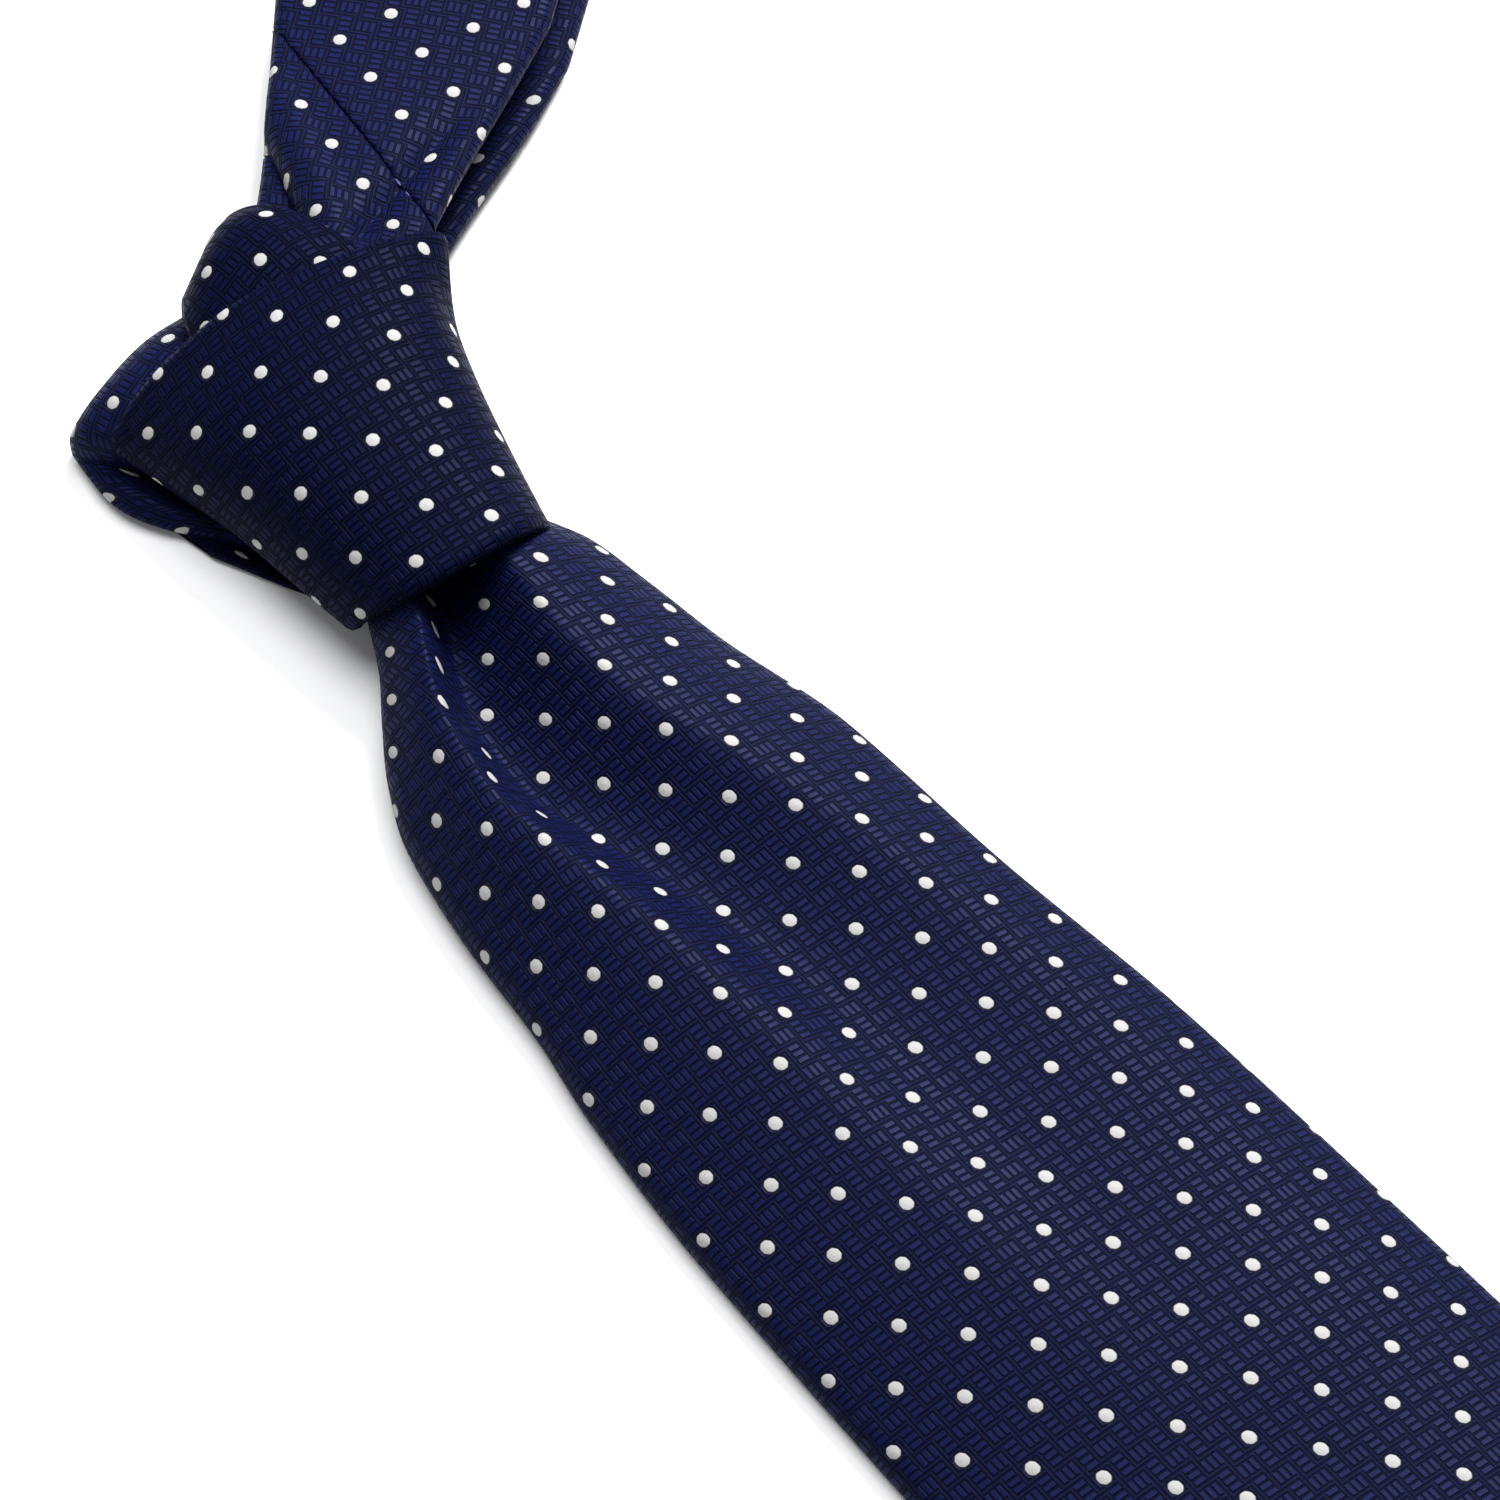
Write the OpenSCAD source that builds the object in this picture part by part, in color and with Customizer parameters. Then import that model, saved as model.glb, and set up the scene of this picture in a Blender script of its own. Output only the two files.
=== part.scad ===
// A silk necktie, tied in a four-in-hand knot and laid face up on a table.
// Millimetres. The origin is on the table under the knot, the front blade runs
// along -Y and the neck loop leaves the knot to the upper right.

/* [Front blade] */
// Width of the front blade at its widest, across the corners of the point
blade_w = 80; // [70:1:96]
// Length from the lower rim of the knot to the point
blade_l = 500; // [420:5:560]
// Thickness of the padded front blade
blade_t = 3.8; // [3:0.1:5]
// Width of the front blade 60 mm below the knot, where the gathers have opened
blade_neck_w = 61; // [50:1:66]

/* [Tail] */
// Width of the tail at the corners of its point
tail_w = 45; // [36:1:50]
// Length from the lower rim of the knot to the point of the tail
tail_l = 345; // [240:5:345]
// Thickness of the padded tail
tail_t = 3.2; // [2.6:0.1:3.8]

/* [Neck loop] */
// Width of the neck band
band_w = 38; // [32:1:44]
// Thickness of the padded neck band
band_t = 3.2; // [2.6:0.1:4]
// Length of the flattened loop from the mouth of the knot to the nape fold
loop_l = 180; // [150:2:210]
// Clear height between the two legs of the loop
loop_gap = 5.8; // [5:0.2:9]
// Direction of the neck loop, from +X towards +Y
loop_yaw = 37.5; // [30:0.5:50]

/* [Knot] */
// Width of the knot across its upper edge
knot_top_w = 49; // [46:1:54]
// Width of the knot across its lower rim
knot_rim_w = 29; // [27:1:34]
// Length of the knot from rim to upper edge
knot_l = 46; // [44:1:50]
// Height of the knot above the table
knot_h = 22; // [20:0.5:26]

/* [Cloth] */
// Thickness of the silk, seam allowance included
silk = 0.6; // [0.4:0.05:0.8]
// Room between a shell and the interlining inside it
ease = 0.15; // [0.1:0.05:0.3]
// Gap that keeps two folded layers apart
layer_gap = 0.4; // [0.3:0.05:0.6]

/* [Hidden] */

NAVY = [0.05, 0.08, 0.27];
WOOL = [0.86, 0.84, 0.78];
LINING = [0.04, 0.06, 0.20];
THREAD = [0.10, 0.13, 0.34];

steps = 14;            // facets across a strip
back_wrap_t = 1.2;     // pressed layer of silk between the knot and the table
rim_y = -28;           // lower rim of the knot
knot_top_y = rim_y + knot_l;
rim_x = 1;             // middle of the lower rim
knot_top_x = 5.5;      // middle of the upper edge
knot_lean = 3;         // how much further back the left corner of the upper edge lies
wrap_t = 3;            // front band: silk and interlining
rim_h = knot_h - 3;    // height of the knot at its rim

blade_x = -2;          // centre line of both blades
throat_y = -40;        // where the gathered throat ends and the free blade begins
spread_y = -90;        // where the gathers have opened
tip_y = rim_y - blade_l;
corner_y = tip_y + blade_w / 2;
table_gap = 0.2;       // cloth clears the table by this much
tail_pull = 40;        // the tail is drawn out this far at most
blade_drop = 58;       // the blade comes down to the table over this length, clear of the tail
tail_tip_y = rim_y - min(tail_l, blade_l - tail_pull - blade_drop - 57);
drop_y = tail_tip_y - tail_pull - 2;
tail_corner_y = tail_tip_y + tail_w / 2;
tail_top_y = -14;      // hidden end of the tail, inside the knot
tail_knot_w = 18;      // width to which the tail is gathered inside the knot
tail_neck_w = 36;      // width of the tail once it has spread
inside_z = back_wrap_t + layer_gap; // height at which cloth passes through the knot
keeper_t = 0.6;        // strap of the keeper loop
over_tail = table_gap + tail_t + layer_gap + keeper_t + layer_gap;
throat_z = 12.4;       // height of the top of the blade where the throat ends

mouth_x = 24.7;        // where the neck loop enters the knot
mouth_y = 27;
upper_z = table_gap + band_t + loop_gap;
nape_r = (upper_z + band_t - table_gap) / 2;
leg_l = loop_l - nape_r;
leg_start = -15;       // the legs begin this far inside the mouth
seam_s = 11;           // where the diagonal seam crosses the middle of the upper leg
tail_seam_s = leg_l - 45;
seam_gap = 0.8;

function arch(v, flat) =
    abs(v) <= flat ? 1 : (1 + cos(180 * (abs(v) - flat) / (1 - flat))) / 2;
function edge(v) = max(0.3, sqrt(1 - pow(abs(v), 4)));
function ease_in(a, b, x) = let (t = min(1, max(0, (x - a) / (b - a)))) t * t * (3 - 2 * t);
function mix(a, b, t) = a + (b - a) * t;

// A ring of a strip: [middle of the cloth, width direction, normal, half width, thickness,
// lift of the middle above the edges, share of the width that is lifted all the way,
// and for an inner ring the half width of the outer one, which the lift is counted over]
function lift_at(v, r) = r[5] * arch(v * r[3] / (len(r) > 7 ? r[7] : r[3]), r[6]);
function ring_points(r) = concat(
    [for (k = [0:steps]) let (v = 2 * k / steps - 1)
        r[0] + r[1] * v * r[3] + r[2] * (lift_at(v, r) + r[4] / 2 * edge(v))],
    [for (k = [steps:-1:0]) let (v = 2 * k / steps - 1)
        r[0] + r[1] * v * r[3] + r[2] * (lift_at(v, r) - r[4] / 2 * edge(v))]);

function inset_ring(r, by) =
    [r[0], r[1], r[2], max(0.3, r[3] - by), r[4] - 2 * by, r[5], r[6], r[3]];

// The same strip smaller all round by a wall, its first and last rings pulled in.
function inset_rings(rings, by) = let (
    last = len(rings) - 1,
    first_step = rings[1][0] - rings[0][0],
    last_step = rings[last - 1][0] - rings[last][0])
    [for (i = [0:last]) let (
        r = inset_ring(rings[i], by),
        move = i == 0 ? first_step / norm(first_step) * by
            : i == last ? last_step / norm(last_step) * by * 1.5 : [0, 0, 0])
        concat([r[0] + move], [for (k = [1:7]) r[k]])];

module strip(rings) {
    m = 2 * steps + 2;
    outward = cross(rings[0][1], rings[0][2]) * (rings[1][0] - rings[0][0]) > 0;
    points = [for (r = rings) each ring_points(r)];
    sides = [for (i = [0:len(rings) - 2]) for (k = [0:m - 1]) let (n = (k + 1) % m)
        each [[i * m + k, i * m + n, (i + 1) * m + n], [i * m + k, (i + 1) * m + n, (i + 1) * m + k]]];
    start = [for (k = [m - 1:-1:0]) k];
    end = [for (k = [0:m - 1]) (len(rings) - 1) * m + k];
    faces = concat([start], sides, [end]);
    polyhedron(points = points, convexity = 6,
        faces = outward ? faces : [for (f = faces) [for (k = [len(f) - 1:-1:0]) f[k]]]);
}

module envelope(rings) {
    difference() {
        strip(rings);
        strip(inset_rings(rings, silk));
    }
}

module padding(rings) {
    strip(inset_rings(rings, silk + ease));
}

// ---- Front blade ----

function blade_half(y) =
    y > spread_y ? mix(20.5, blade_neck_w / 2, sin(90 * (throat_y - y) / (throat_y - spread_y)))
    : y > corner_y ? mix(blade_neck_w / 2, blade_w / 2,
        pow((spread_y - y) / (spread_y - corner_y), 0.7))
    : max(0.8, blade_w / 2 * (y - tip_y) / (corner_y - tip_y));
// The blade rides over the tail, and comes down to the table past the tail's point, far
// enough from it for the tail to be drawn out.
function blade_lift(y) =
    over_tail * (1 - ease_in(-drop_y, -drop_y + blade_drop, -y))
    + (throat_z - blade_t - over_tail - table_gap - 1.4) * (1 - ease_in(-throat_y, -spread_y, -y));
function blade_flat(y) = mix(0.36, 0.66, ease_in(-throat_y, -spread_y, -y));
function blade_ring(y) = [[blade_x, y, table_gap + blade_t / 2 + 1.4 * (1 - ease_in(40, 70, -y))],
    [1, 0, 0], [0, 0, 1], blade_half(y), blade_t, blade_lift(y), blade_flat(y)];

blade_ys = concat([throat_y - layer_gap, -50, -62, -76],
    [for (t = [0:0.25:0.75]) mix(spread_y, drop_y, t)],
    [for (t = [0:0.25:1]) drop_y - blade_drop * t], [corner_y, tip_y]);
blade_rings = [for (y = blade_ys) blade_ring(y)];
tack_y = corner_y - 2;

// The diamond at the back of the point where the lining shows
module back_window(point_y, half, top_y, grow, low, high) {
    translate([blade_x, 0, low])
        linear_extrude(height = high - low)
            polygon([[0, top_y + grow], [half * 0.36 + grow, point_y + half * 0.76],
                [0, point_y + half * 0.16 - grow], [-half * 0.36 - grow, point_y + half * 0.76]]);
}

module front_blade_shell() {
    color(NAVY)
        difference() {
            envelope(blade_rings);
            back_window(tip_y, blade_w / 2, tack_y - 2, 0, -1, table_gap + silk + ease / 2);
            slip_slit(blade_stitch_ys, over_tail + table_gap);
            bar_tack(tack_y, 4, ease);
        }
}

module front_blade_interlining() {
    color(WOOL)
        padding(blade_rings);
}

module front_blade_tipping() {
    color(LINING)
        back_window(tip_y, blade_w / 2, tack_y - 2, -ease, table_gap + ease / 2, table_gap + silk - ease / 2);
}

// Slip stitches lie in the seam down the middle of the back.
stitch_l = 4;
stitch_w = 0.5;
stitch_pitch = 12;
blade_stitch_ys = [for (y = [spread_y - 10:-stitch_pitch:tail_tip_y + 10]) y];
module slip_slit(ys, z) {
    for (y = ys)
        translate([blade_x - stitch_w, y - stitch_l, z - 0.5])
            cube([2 * stitch_w, stitch_l + 2 * stitch_w, silk + 0.5 - ease]);
}
module stitch_row(ys, z) {
    for (y = ys)
        translate([blade_x - stitch_w / 2, y - stitch_l + stitch_w, z])
            cube([stitch_w, stitch_l, silk - 2 * ease]);
}

module front_blade_slip_stitch() {
    color(THREAD)
        stitch_row(blade_stitch_ys, over_tail + table_gap);
}

// The thick tack that closes the seam above the point, and the slot it sits in
module bar_tack(y, half, grow) {
    translate([blade_x - half - grow, y - grow, grow > 0 ? 0 : table_gap])
        cube([2 * (half + grow), 1.2 + 2 * grow, silk - ease + (grow > 0 ? table_gap : -ease)]);
}

module front_blade_bar_tack() {
    color(THREAD) bar_tack(tack_y, 4, 0);
}

// The keeper is a band of silk across the back, sewn down at both ends.
keeper_w = 40;
keeper_h = 12;
keeper_y = tail_tip_y + 75;
keeper_z = table_gap + tail_t + layer_gap;
module keeper_loop() {
    color(NAVY)
        translate([blade_x - keeper_w / 2, keeper_y - keeper_h / 2, keeper_z]) {
            cube([keeper_w, keeper_h, keeper_t]);
            for (x = [0, keeper_w - 3])
                translate([x, 0, 0])
                    cube([3, keeper_h, keeper_t + layer_gap - 0.02]);
        }
}

module keeper_stitches() {
    color(THREAD)
        for (side = [-1, 1])
            for (k = [-1, 0, 1])
                translate([blade_x + side * (keeper_w / 2 - 1.5) - 0.25,
                        keeper_y + k * 3.6 - 1.2, keeper_z - 0.3])
                    cube([0.5, 2.4, 0.28]);
}

// The gathered cloth between the rim of the knot and the free blade
throat_sink = max(0, 14.2 - (rim_h - wrap_t));   // a flat knot presses the gathers down
throat_rings = [
    [[rim_x, rim_y + 3, 9.5 - throat_sink], [1, 0, 0], [0, 0, 1], 7, 5, 0.6, 0.3],
    [[rim_x, rim_y - 0.5, 9.3 - throat_sink], [1, 0, 0], [0, 0, 1], 8.5, 5, 0.8, 0.3],
    [[rim_x, rim_y - 3.5, 8.6 - throat_sink], [1, 0, 0], [0, 0, 1], knot_rim_w / 2, 4.6, 2.2, 0.3],
    [[blade_x, throat_y, blade_ring(throat_y)[0].z], [1, 0, 0], [0, 0, 1],
        blade_half(throat_y - 0.1), blade_t, blade_lift(throat_y), blade_flat(throat_y)]];

module front_blade_throat() {
    color(NAVY) strip(throat_rings);
}

// ---- Tail ----

function tail_half(y) =
    y > -60 ? tail_knot_w / 2
    : y > -100 ? mix(tail_knot_w / 2, tail_neck_w / 2, ease_in(60, 100, -y))
    : y > tail_corner_y ? mix(tail_neck_w / 2, tail_w / 2, (-100 - y) / (-100 - tail_corner_y))
    : max(0.8, tail_w / 2 * (y - tail_tip_y) / (tail_corner_y - tail_tip_y));
function tail_ring(y) = [[mix(rim_x, blade_x, ease_in(50, 110, -y)), y,
        mix(inside_z, table_gap, ease_in(64, 100, -y)) + tail_t / 2],
    [1, 0, 0], [0, 0, 1], tail_half(y), tail_t, 0, 0.5];
tail_ys = [tail_top_y, -60, -68, -76, -84, -92, -100, -110, -180, -260, tail_corner_y, tail_tip_y];
tail_rings = [for (y = tail_ys) tail_ring(y)];
tail_tack_y = tail_corner_y - 2;
tail_stitch_ys = [for (y = [-114:-stitch_pitch:tail_corner_y + 20]) y];

module tail_shell() {
    color(NAVY)
        difference() {
            envelope(tail_rings);
            back_window(tail_tip_y, tail_w / 2, tail_tack_y - 2, 0, -1, table_gap + silk + ease / 2);
            slip_slit(tail_stitch_ys, table_gap);
            bar_tack(tail_tack_y, 3, ease);
        }
}

module tail_interlining() {
    color(WOOL)
        padding(tail_rings);
}

module tail_tipping() {
    color(LINING)
        back_window(tail_tip_y, tail_w / 2, tail_tack_y - 2, -ease, table_gap + ease / 2,
            table_gap + silk - ease / 2);
}

module tail_slip_stitch() {
    color(THREAD)
        stitch_row(tail_stitch_ys, table_gap);
}

module tail_bar_tack() {
    color(THREAD) bar_tack(tail_tack_y, 3, 0);
}

// ---- Neck loop, drawn along +X from the mouth of the knot ----

module from_mouth() {
    translate([mouth_x, mouth_y, 0])
        rotate([0, 0, loop_yaw])
            children();
}

function band_half(s) = mix(12.5, band_w / 2, ease_in(2, 37, s));
// The lower leg comes down from the knot to the table.
function lower_z(s) = mix(inside_z, table_gap, ease_in(26, 50, s));
function leg_ring(s, z) = [[s, 0, z + band_t / 2],
    [0, 1, 0], [0, 0, 1], band_half(s), band_t, 0, 0.5];
leg_ss = [leg_start, 2, 9, 16, 23, 30, 37, 44, 50, 90, 130, leg_l];
upper_rings = [for (s = leg_ss) leg_ring(s, upper_z)];
lower_rings = [for (s = leg_ss) leg_ring(s, lower_z(s))];

// Everything on the knot's side of a seam that crosses the leg at 45 degrees
module knot_side(s, gap) {
    translate([s - gap, 0, -5])
        rotate([0, 0, -45])
            translate([-300, -200, 0])
                cube([300, 400, 50]);
}

module leg_panel(rings, s, knot_panel) {
    if (knot_panel)
        intersection() {
            envelope(rings);
            knot_side(s, seam_gap / 2);
        }
    else
        difference() {
            envelope(rings);
            knot_side(s, -seam_gap / 2);
        }
}

module seam_thread(s, z) {
    for (k = [-3:3])
        translate([s + k * 4.2, k * 4.2, z])
            rotate([0, 0, 45])
                translate([-1.4, -0.2, 0])
                    cube([2.8, 0.4, 0.35]);
}

module upper_leg_knot_panel() {
    color(NAVY) from_mouth() leg_panel(upper_rings, seam_s, true);
}

module upper_leg_neck_panel() {
    color(NAVY) from_mouth() leg_panel(upper_rings, seam_s, false);
}

module upper_leg_interlining() {
    color(WOOL) from_mouth() padding(upper_rings);
}

module neck_joining_seam() {
    color(THREAD) from_mouth() seam_thread(seam_s, upper_z + band_t - silk + 0.1);
}

module lower_leg_tail_panel() {
    color(NAVY) from_mouth() leg_panel(lower_rings, tail_seam_s, true);
}

module lower_leg_neck_panel() {
    color(NAVY) from_mouth() leg_panel(lower_rings, tail_seam_s, false);
}

module lower_leg_interlining() {
    color(WOOL) from_mouth() padding(lower_rings);
}

module tail_joining_seam() {
    color(THREAD) from_mouth() seam_thread(tail_seam_s, table_gap + 0.1);
}

// The nape is where the flattened loop turns back over itself.
nape_turn = nape_r - band_t / 2;
nape_rings = [for (a = [-90:15:90])
    [[leg_l + ease + nape_turn * cos(a), 0, table_gap + nape_r + nape_turn * sin(a)],
        [0, -1, 0], [cos(a), 0, sin(a)], band_w / 2, band_t, 0, 0.5]];

module nape_band() {
    color(NAVY) from_mouth() envelope(nape_rings);
}

module nape_interlining() {
    color(WOOL) from_mouth() padding(nape_rings);
}

module neck_slip_stitch() {
    color(THREAD)
        from_mouth()
            for (s = [60:stitch_pitch:leg_l - 60])
                translate([s, -stitch_w / 2, upper_z - 0.3])
                    cube([stitch_l, stitch_w, 0.28]);
}

// ---- Knot ----

// The front of the knot is a flattened cone. Points run from its left side over the top to
// its right side, for a layer that lies in from the outside of the knot. Its right side is
// open near the upper edge, where the neck loop comes out.
function knot_point(a, t, in) = let (
    mid_x = mix(rim_x, knot_top_x, t),
    half = mix(knot_rim_w, knot_top_w, t) / 2 - in,
    top = mix(rim_h, knot_h, t) - in,
    right = max(0, -cos(a)),
    base = mix(2.2, upper_z + band_t + 1.2, ease_in(0.5, 0.8, t) * right),
    lean = knot_lean * t * cos(a))
    [mid_x - half * cos(a), mix(rim_y, knot_top_y, t) + lean,
        base + (top - base) * pow(sin(a), 0.75)];

wrap_turns = [for (k = [0:16]) 180 * k / 16];
wrap_shares = [0, 0.25, 0.5, 0.6, 0.7, 0.8, 1];

module knot_layer(outer, inner) {
    n = len(wrap_turns);
    m = len(wrap_shares);
    points = concat(
        [for (t = wrap_shares) for (a = wrap_turns) knot_point(a, t, outer)],
        [for (t = wrap_shares) for (a = wrap_turns) knot_point(a, t, inner)]);
    skin = [for (j = [0:m - 2]) for (i = [0:n - 2]) [j * n + i, j * n + i + 1, (j + 1) * n + i + 1, (j + 1) * n + i]];
    function tris(q) = [[q[0], q[1], q[2]], [q[0], q[2], q[3]]];
    outer_faces = [for (q = skin) each tris([q[0], q[3], q[2], q[1]])];
    inner_faces = [for (q = skin) each tris([for (p = q) p + n * m])];
    rim = [for (i = [0:n - 2]) each tris([i, i + 1, i + 1 + n * m, i + n * m])];
    top = [for (i = [0:n - 2]) let (b = (m - 1) * n)
        each tris([b + i + 1, b + i, b + i + n * m, b + i + 1 + n * m])];
    left = [for (j = [0:m - 2]) each tris([(j + 1) * n, j * n, j * n + n * m, (j + 1) * n + n * m])];
    right = [for (j = [0:m - 2]) let (e = n - 1)
        each tris([j * n + e, (j + 1) * n + e, (j + 1) * n + e + n * m, j * n + e + n * m])];
    polyhedron(points = points,
        faces = concat(outer_faces, inner_faces, rim, top, left, right), convexity = 6);
}

module knot_front_wrap() {
    color(NAVY) knot_layer(0, silk);
}

module knot_front_interlining() {
    color(WOOL) knot_layer(silk + ease, wrap_t);
}

// The strip that lies across the back of the knot, flat on the table
module knot_back_wrap() {
    left = knot_top_x - knot_top_w / 2;
    right = knot_top_x + knot_top_w / 2;
    color(NAVY)
        linear_extrude(height = back_wrap_t)
            polygon([[rim_x - knot_rim_w / 2 + 2, rim_y + 2], [rim_x + knot_rim_w / 2 - 2, rim_y + 2],
                [right - 2, knot_top_y - 6], [right - 7, knot_top_y - 1], [14, 29], [2, 33], [-12, 29],
                [left - 3, 24], [left - 4, 12], [left + 3, -2]]);
}

// The crossing layers that fill the knot above the tail, with room for the upper leg
module knot_core() {
    core_z = inside_z + tail_t + layer_gap;
    color(WOOL)
        difference() {
            hull() {
                translate([rim_x - 8, rim_y + 6, core_z]) cube([16, 1, rim_h - wrap_t - core_z - 3.4]);
                translate([knot_top_x - 10, knot_top_y - 8, core_z])
                    cube([20, 1, knot_h - wrap_t - core_z - 2.4]);
            }
            from_mouth()
                translate([-44, -18, upper_z - layer_gap])
                    cube([80, 36, band_t + 2 * layer_gap]);
            translate([knot_top_x - 30, knot_top_y - 12, upper_z])
                cube([60, 30, 20]);
        }
}

// The last turn comes up behind the knot and dives under the front band. It stays above the
// neck loop, however flat the knot is.
wrap_yaw = -14;
turn_h = max(knot_h, upper_z + band_t + 7.4);
function top_ring(x, y, z, pitch, half) = [[x, y, z], [cos(wrap_yaw), sin(wrap_yaw), 0],
    [-sin(wrap_yaw) * sin(pitch), cos(wrap_yaw) * sin(pitch), cos(pitch)], half, 2.6, 0, 0.5];
top_rings = [
    top_ring(knot_top_x + 0.5, knot_top_y - 2.5, turn_h - 6.8, 0, 11.5),
    top_ring(knot_top_x - 1, knot_top_y + 3.5, turn_h - 5.8, 10, 11),
    top_ring(knot_top_x - 5.5, knot_top_y + 8.5, turn_h - 6.8, 35, 9.5),
    top_ring(knot_top_x - 12.5, knot_top_y + 12, turn_h - 11, 62, 6),
    top_ring(knot_top_x - 13.5, knot_top_y + 13.6, turn_h - 17.5, 85, 5.5)];

module knot_top_wrap() {
    color(NAVY) envelope(top_rings);
}

module knot_top_interlining() {
    color(WOOL) padding(top_rings);
}

// The loose fold on the left, where the band turns round to the back
fold_x = knot_top_x - knot_top_w / 2;
function fold_ring(x, y, z, yaw, normal, half) =
    [[x, y, z], [cos(yaw), sin(yaw), 0], normal, half, 1.8, 0, 0.5];
fold_rings = [
    fold_ring(fold_x + 4, knot_top_y + 8.5, 10.5, 140, [0.3, 0.5, 0.81], 3.2),
    fold_ring(fold_x - 0.5, knot_top_y + 7.6, 8.2, 115, [-0.5, 0.2, 0.84], 3.6),
    fold_ring(fold_x - 3.6, knot_top_y + 2, 5.4, 100, [-0.9, 0, 0.43], 6.5),
    fold_ring(fold_x - 3.2, knot_top_y - 3, 2.8, 95, [-0.99, 0, 0.1], 9)];

module knot_side_fold() {
    color(NAVY) strip(fold_rings);
}

knot_back_wrap();
knot_core();
knot_front_wrap();
knot_front_interlining();
knot_top_wrap();
knot_top_interlining();
knot_side_fold();
front_blade_throat();
front_blade_shell();
front_blade_interlining();
front_blade_tipping();
front_blade_slip_stitch();
front_blade_bar_tack();
keeper_loop();
keeper_stitches();
tail_shell();
tail_interlining();
tail_tipping();
tail_slip_stitch();
tail_bar_tack();
upper_leg_knot_panel();
upper_leg_neck_panel();
upper_leg_interlining();
neck_joining_seam();
lower_leg_tail_panel();
lower_leg_neck_panel();
lower_leg_interlining();
tail_joining_seam();
nape_band();
nape_interlining();
neck_slip_stitch();
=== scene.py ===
import math
from bisect import bisect_right

import bmesh
import bpy
import numpy as np
from mathutils import Matrix, Vector


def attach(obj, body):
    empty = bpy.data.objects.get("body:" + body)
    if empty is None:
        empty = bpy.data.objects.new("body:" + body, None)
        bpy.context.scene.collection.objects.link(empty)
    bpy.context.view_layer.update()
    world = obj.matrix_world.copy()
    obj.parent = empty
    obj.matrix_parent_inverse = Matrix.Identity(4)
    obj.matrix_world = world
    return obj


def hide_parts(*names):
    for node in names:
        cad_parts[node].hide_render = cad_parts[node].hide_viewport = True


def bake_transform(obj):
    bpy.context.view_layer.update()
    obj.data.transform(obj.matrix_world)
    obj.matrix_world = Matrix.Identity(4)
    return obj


bl_info = {
    "name": "Dotted silk necktie",
    "version": (1, 0, 0),
    "blender": (4, 5, 0),
    "location": "3D View > Sidebar > Necktie",
    "description": "Dresses the necktie frame in gathered, folded and knotted silk",
    "category": "Add Mesh",
}

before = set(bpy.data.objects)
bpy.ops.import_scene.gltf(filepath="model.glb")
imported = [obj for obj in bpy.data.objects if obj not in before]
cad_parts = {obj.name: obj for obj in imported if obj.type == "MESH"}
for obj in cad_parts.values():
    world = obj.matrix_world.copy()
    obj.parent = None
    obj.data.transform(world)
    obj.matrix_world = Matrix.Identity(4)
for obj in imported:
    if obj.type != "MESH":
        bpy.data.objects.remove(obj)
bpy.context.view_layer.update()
MM = 0.001
UP = np.array([0.0, 0.0, 1.0])

# The neck loop runs straight out of the knot from its mouth.
MOUTH = np.array([24.7, 27.0, 0.0])
LOOP_YAW = math.radians(37.5)
LOOP_OUT = np.array([math.cos(LOOP_YAW), math.sin(LOOP_YAW), 0.0])
LOOP_LEFT = np.array([-math.sin(LOOP_YAW), math.cos(LOOP_YAW), 0.0])
LOOP_END = 173.9          # where the flattened loop starts to turn over, mm from the mouth
RIM_Y = -28.0             # lower rim of the knot
BLADE_X = -2.0            # centre line of both blades
BLADE_LENGTH = 500.0      # from the rim to the point
TAIL_LENGTH = 345.0


# ---- Lines and surfaces through given places ----

def along(stops, x):
    """Reads a smooth line through stops of (place, value). It stays level past its ends."""
    places = [s[0] for s in stops]
    if x <= places[0]:
        return stops[0][1]
    if x >= places[-1]:
        return stops[-1][1]
    k = bisect_right(places, x) - 1

    def rise(i):
        (x0, y0), (x1, y1) = stops[i], stops[i + 1]
        return (y1 - y0) / (x1 - x0)

    def slope(i):
        if i == 0 or i == len(stops) - 1:
            return rise(max(0, i - 1))
        before, after = rise(i - 1), rise(i)
        return 0.0 if before * after <= 0 else 2 * before * after / (before + after)

    (x0, y0), (x1, y1) = stops[k], stops[k + 1]
    h = x1 - x0
    t = (x - x0) / h
    return (y0 * (1 + 2 * t) * (1 - t) ** 2 + slope(k) * h * t * (1 - t) ** 2
            + y1 * t * t * (3 - 2 * t) + slope(k + 1) * h * t * t * (t - 1))


def smooth(low, high, x):
    t = min(1.0, max(0.0, (x - low) / (high - low)))
    return t * t * (3 - 2 * t)


def spline_weights(controls, places):
    """Catmull-Rom weights of the control points for each place, from 0 to 1."""
    table = np.zeros((len(places), controls))
    for row, place in enumerate(places):
        x = min(max(place, 0.0), 1.0) * (controls - 1)
        k = min(int(x), controls - 2)
        t = x - k
        basis = (-t / 2 + t * t - t ** 3 / 2, 1 - 2.5 * t * t + 1.5 * t ** 3,
                 t / 2 + 2 * t * t - 1.5 * t ** 3, (t ** 3 - t * t) / 2)
        for offset, weight in zip((-1, 0, 1, 2), basis):
            i = k + offset
            if i < 0:
                table[row, 0] += 2 * weight
                table[row, 1] -= weight
            elif i >= controls:
                table[row, -1] += 2 * weight
                table[row, -2] -= weight
            else:
                table[row, i] += weight
    return table


def net_surface(net, rows, columns):
    """A smooth sheet through a net of control points, as rows x columns x 3 millimetres."""
    net = np.array(net, float)
    down = spline_weights(net.shape[0], np.linspace(0, 1, rows + 1))
    across = spline_weights(net.shape[1], np.linspace(0, 1, columns + 1))
    return np.einsum("ai,bj,ijk->abk", down, across, net)


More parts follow.
